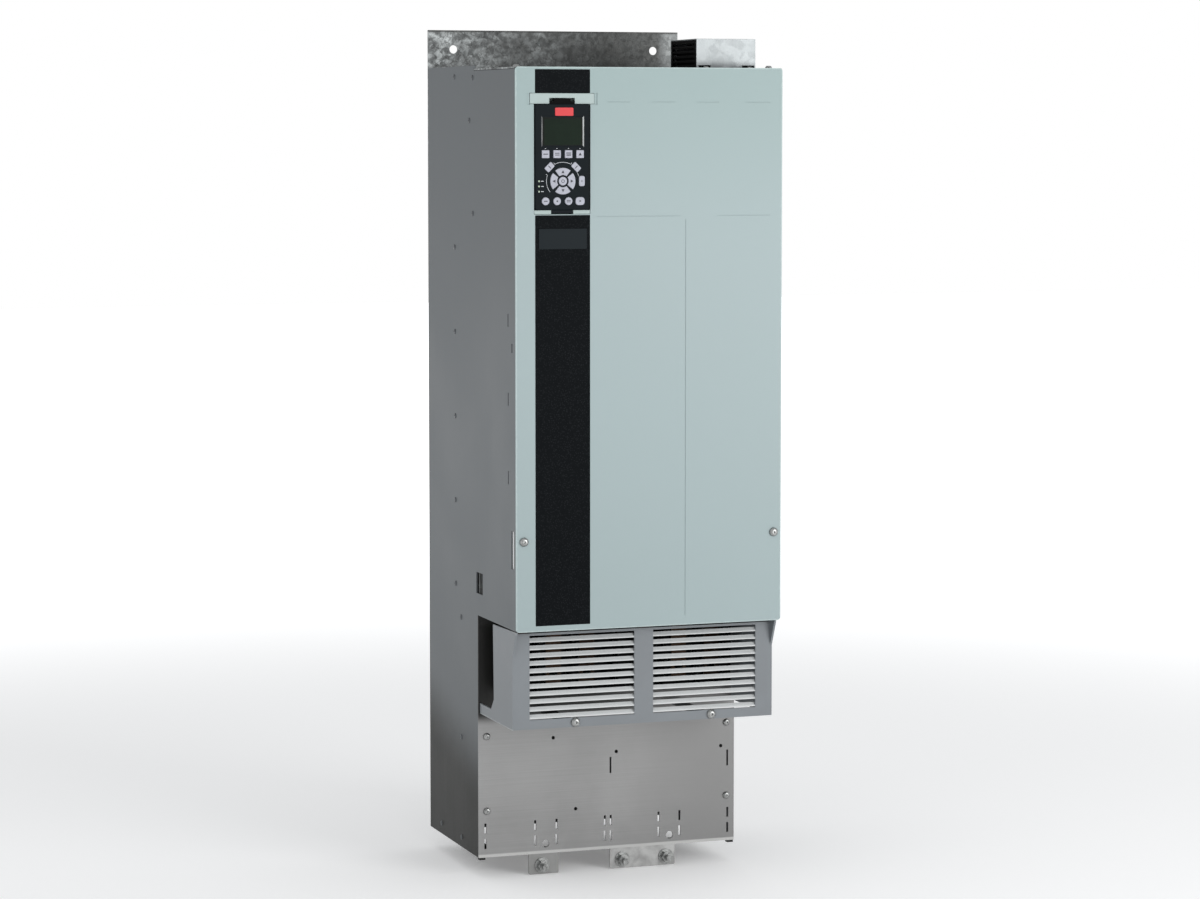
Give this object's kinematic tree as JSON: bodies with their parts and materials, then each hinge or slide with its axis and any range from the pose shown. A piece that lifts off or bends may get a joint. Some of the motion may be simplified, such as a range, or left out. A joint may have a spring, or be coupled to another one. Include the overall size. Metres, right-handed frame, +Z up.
{
  "type": "variable frequency drive",
  "caption": "Tall wall-hung chassis variable frequency drive: rear cooling duct with heat sink, lift-off front cover with keypad, louvred terminal cover, earth tabs below.",
  "frame": {"origin": "in the wall plane, at the middle of the back panel's bottom edge", "axes": "+X right as seen from the front, +Y into the wall (front faces -Y), +Z up"},
  "size_m": [0.3524, 0.3785, 1.086],
  "materials": {
    "zinc_sheet": "hot-dip zinc with a faint spangle",
    "bright_zinc": "bright zinc sheet",
    "side_sheet": "plain zinc sheet, satin",
    "duct_steel": "stainless sheet, brushed",
    "plated_steel": "zinc-plated screws and nuts",
    "cover_paint": "fine-texture powder coat",
    "terminal_paint": "fine-texture powder coat",
    "black_film": "speckled film",
    "plate_film": "satin film, blank",
    "cradle_plastic": "moulded, satin",
    "keypad_plastic": "moulded, fine texture",
    "key_plastic": "silicone keys, satin",
    "display_glass": "clear window over an unlit display",
    "lamp_plastic": "light pipes, unlit",
    "black_plastic": "moulded, satin",
    "rotor_black": "moulded, satin",
    "black_rubber": "moulded",
    "board_green": "solder mask",
    "heat_sink_aluminium": "extruded",
    "module_case": "moulded",
    "can_sleeve": "shrink sleeve",
    "copper_bar": "bare copper, rolled",
    "sensor_blue": "moulded",
    "brass_post": "turned"
  },
  "bodies": {
    "chassis": {"back_panel": "zinc_sheet", "left_side_panel": "side_sheet", "right_side_panel": "side_sheet", "top_plate": "zinc_sheet", "bottom_plate": "zinc_sheet", "duct_front_plate": "duct_steel", "base_plate": "zinc_sheet", "ground_tabs": "duct_steel", "ground_studs": "plated_steel", "corner_blocks": "black_rubber", "fan_hood": "bright_zinc", "hood_vent": "black_plastic", "panel_screws": "plated_steel", "cover_rails": "bright_zinc", "lcp_cradle": "cradle_plastic", "heat_sink": "heat_sink_aluminium", "power_modules": "module_case", "rectifier_modules": "module_case", "capacitor_bank": "can_sleeve", "dc_bus_bars": "copper_bar", "line_bus_bars": "copper_bar", "motor_bus_bars": "copper_bar", "terminal_block": "black_plastic", "current_sensors": "sensor_blue", "power_card": "board_green", "card_posts": "brass_post", "control_tray": "black_plastic", "control_card": "board_green", "duct_fan_frame": "black_plastic", "top_fan_frame": "black_plastic"},
    "front_cover": {"front_cover": "cover_paint", "front_stripe": "black_film", "name_plate": "plate_film", "cover_screws": "plated_steel"},
    "terminal_cover": {"terminal_cover": "terminal_paint", "terminal_cover_screws": "plated_steel"},
    "keypad": {"lcp_housing": "keypad_plastic", "lcp_back": "keypad_plastic", "lcp_window": "display_glass", "lcp_board": "board_green", "indicator_lights": "lamp_plastic"},
    "keypad_latch": {"lcp_latch": "black_plastic"},
    "duct_fan": {"duct_fan_rotor": "rotor_black"},
    "top_fan": {"top_fan_rotor": "rotor_black"},
    "key_status": {"key_status": "key_plastic"},
    "key_quick_menu": {"key_quick_menu": "key_plastic"},
    "key_main_menu": {"key_main_menu": "key_plastic"},
    "key_alarm_log": {"key_alarm_log": "key_plastic"},
    "key_back": {"key_back": "key_plastic"},
    "key_cancel": {"key_cancel": "key_plastic"},
    "key_info": {"key_info": "key_plastic"},
    "key_ok": {"key_ok": "key_plastic"},
    "key_up": {"key_up": "key_plastic"},
    "key_down": {"key_down": "key_plastic"},
    "key_left": {"key_left": "key_plastic"},
    "key_right": {"key_right": "key_plastic"},
    "key_hand_on": {"key_hand_on": "key_plastic"},
    "key_off": {"key_off": "key_plastic"},
    "key_auto_on": {"key_auto_on": "key_plastic"},
    "key_reset": {"key_reset": "key_plastic"}
  },
  "joints": [
    {"name": "front_cover_lift", "type": "slide", "parent": "chassis", "child": "front_cover", "axis": [0, -1, 0], "range_m": [0, 0.25]},
    {"name": "terminal_cover_lift", "type": "slide", "parent": "chassis", "child": "terminal_cover", "axis": [0, -1, 0], "range_m": [0, 0.12]},
    {"name": "keypad_pull", "type": "slide", "parent": "chassis", "child": "keypad", "axis": [0, -1, 0], "range_m": [0, 0.06]},
    {"name": "keypad_latch_press", "type": "slide", "parent": "keypad", "child": "keypad_latch", "axis": [0, 0, -1], "range_m": [0, 0.002], "stiffness_N_per_m": 1500},
    {"name": "key_status_press", "type": "slide", "parent": "keypad", "child": "key_status", "axis": [0, 1, 0], "range_m": [0, 0.0008], "stiffness_N_per_m": 2500},
    {"name": "key_quick_menu_press", "type": "slide", "parent": "keypad", "child": "key_quick_menu", "axis": [0, 1, 0], "range_m": [0, 0.0008], "stiffness_N_per_m": 2500},
    {"name": "key_main_menu_press", "type": "slide", "parent": "keypad", "child": "key_main_menu", "axis": [0, 1, 0], "range_m": [0, 0.0008], "stiffness_N_per_m": 2500},
    {"name": "key_alarm_log_press", "type": "slide", "parent": "keypad", "child": "key_alarm_log", "axis": [0, 1, 0], "range_m": [0, 0.0008], "stiffness_N_per_m": 2500},
    {"name": "key_back_press", "type": "slide", "parent": "keypad", "child": "key_back", "axis": [0, 1, 0], "range_m": [0, 0.0008], "stiffness_N_per_m": 2500},
    {"name": "key_cancel_press", "type": "slide", "parent": "keypad", "child": "key_cancel", "axis": [0, 1, 0], "range_m": [0, 0.0008], "stiffness_N_per_m": 2500},
    {"name": "key_info_press", "type": "slide", "parent": "keypad", "child": "key_info", "axis": [0, 1, 0], "range_m": [0, 0.0008], "stiffness_N_per_m": 2500},
    {"name": "key_ok_press", "type": "slide", "parent": "keypad", "child": "key_ok", "axis": [0, 1, 0], "range_m": [0, 0.0008], "stiffness_N_per_m": 2500},
    {"name": "key_up_press", "type": "slide", "parent": "keypad", "child": "key_up", "axis": [0, 1, 0], "range_m": [0, 0.0008], "stiffness_N_per_m": 2500},
    {"name": "key_down_press", "type": "slide", "parent": "keypad", "child": "key_down", "axis": [0, 1, 0], "range_m": [0, 0.0008], "stiffness_N_per_m": 2500},
    {"name": "key_left_press", "type": "slide", "parent": "keypad", "child": "key_left", "axis": [0, 1, 0], "range_m": [0, 0.0008], "stiffness_N_per_m": 2500},
    {"name": "key_right_press", "type": "slide", "parent": "keypad", "child": "key_right", "axis": [0, 1, 0], "range_m": [0, 0.0008], "stiffness_N_per_m": 2500},
    {"name": "key_hand_on_press", "type": "slide", "parent": "keypad", "child": "key_hand_on", "axis": [0, 1, 0], "range_m": [0, 0.0008], "stiffness_N_per_m": 2500},
    {"name": "key_off_press", "type": "slide", "parent": "keypad", "child": "key_off", "axis": [0, 1, 0], "range_m": [0, 0.0008], "stiffness_N_per_m": 2500},
    {"name": "key_auto_on_press", "type": "slide", "parent": "keypad", "child": "key_auto_on", "axis": [0, 1, 0], "range_m": [0, 0.0008], "stiffness_N_per_m": 2500},
    {"name": "key_reset_press", "type": "slide", "parent": "keypad", "child": "key_reset", "axis": [0, 1, 0], "range_m": [0, 0.0008], "stiffness_N_per_m": 2500},
    {"name": "duct_fan_spin", "type": "hinge", "parent": "chassis", "child": "duct_fan", "pos_m": [0, -0.10875, 0.37], "axis": [0, 0, 1], "continuous": true},
    {"name": "top_fan_spin", "type": "hinge", "parent": "chassis", "child": "top_fan", "pos_m": [0.1335, -0.2435, 1.015], "axis": [0, 0, 1], "continuous": true}
  ]
}
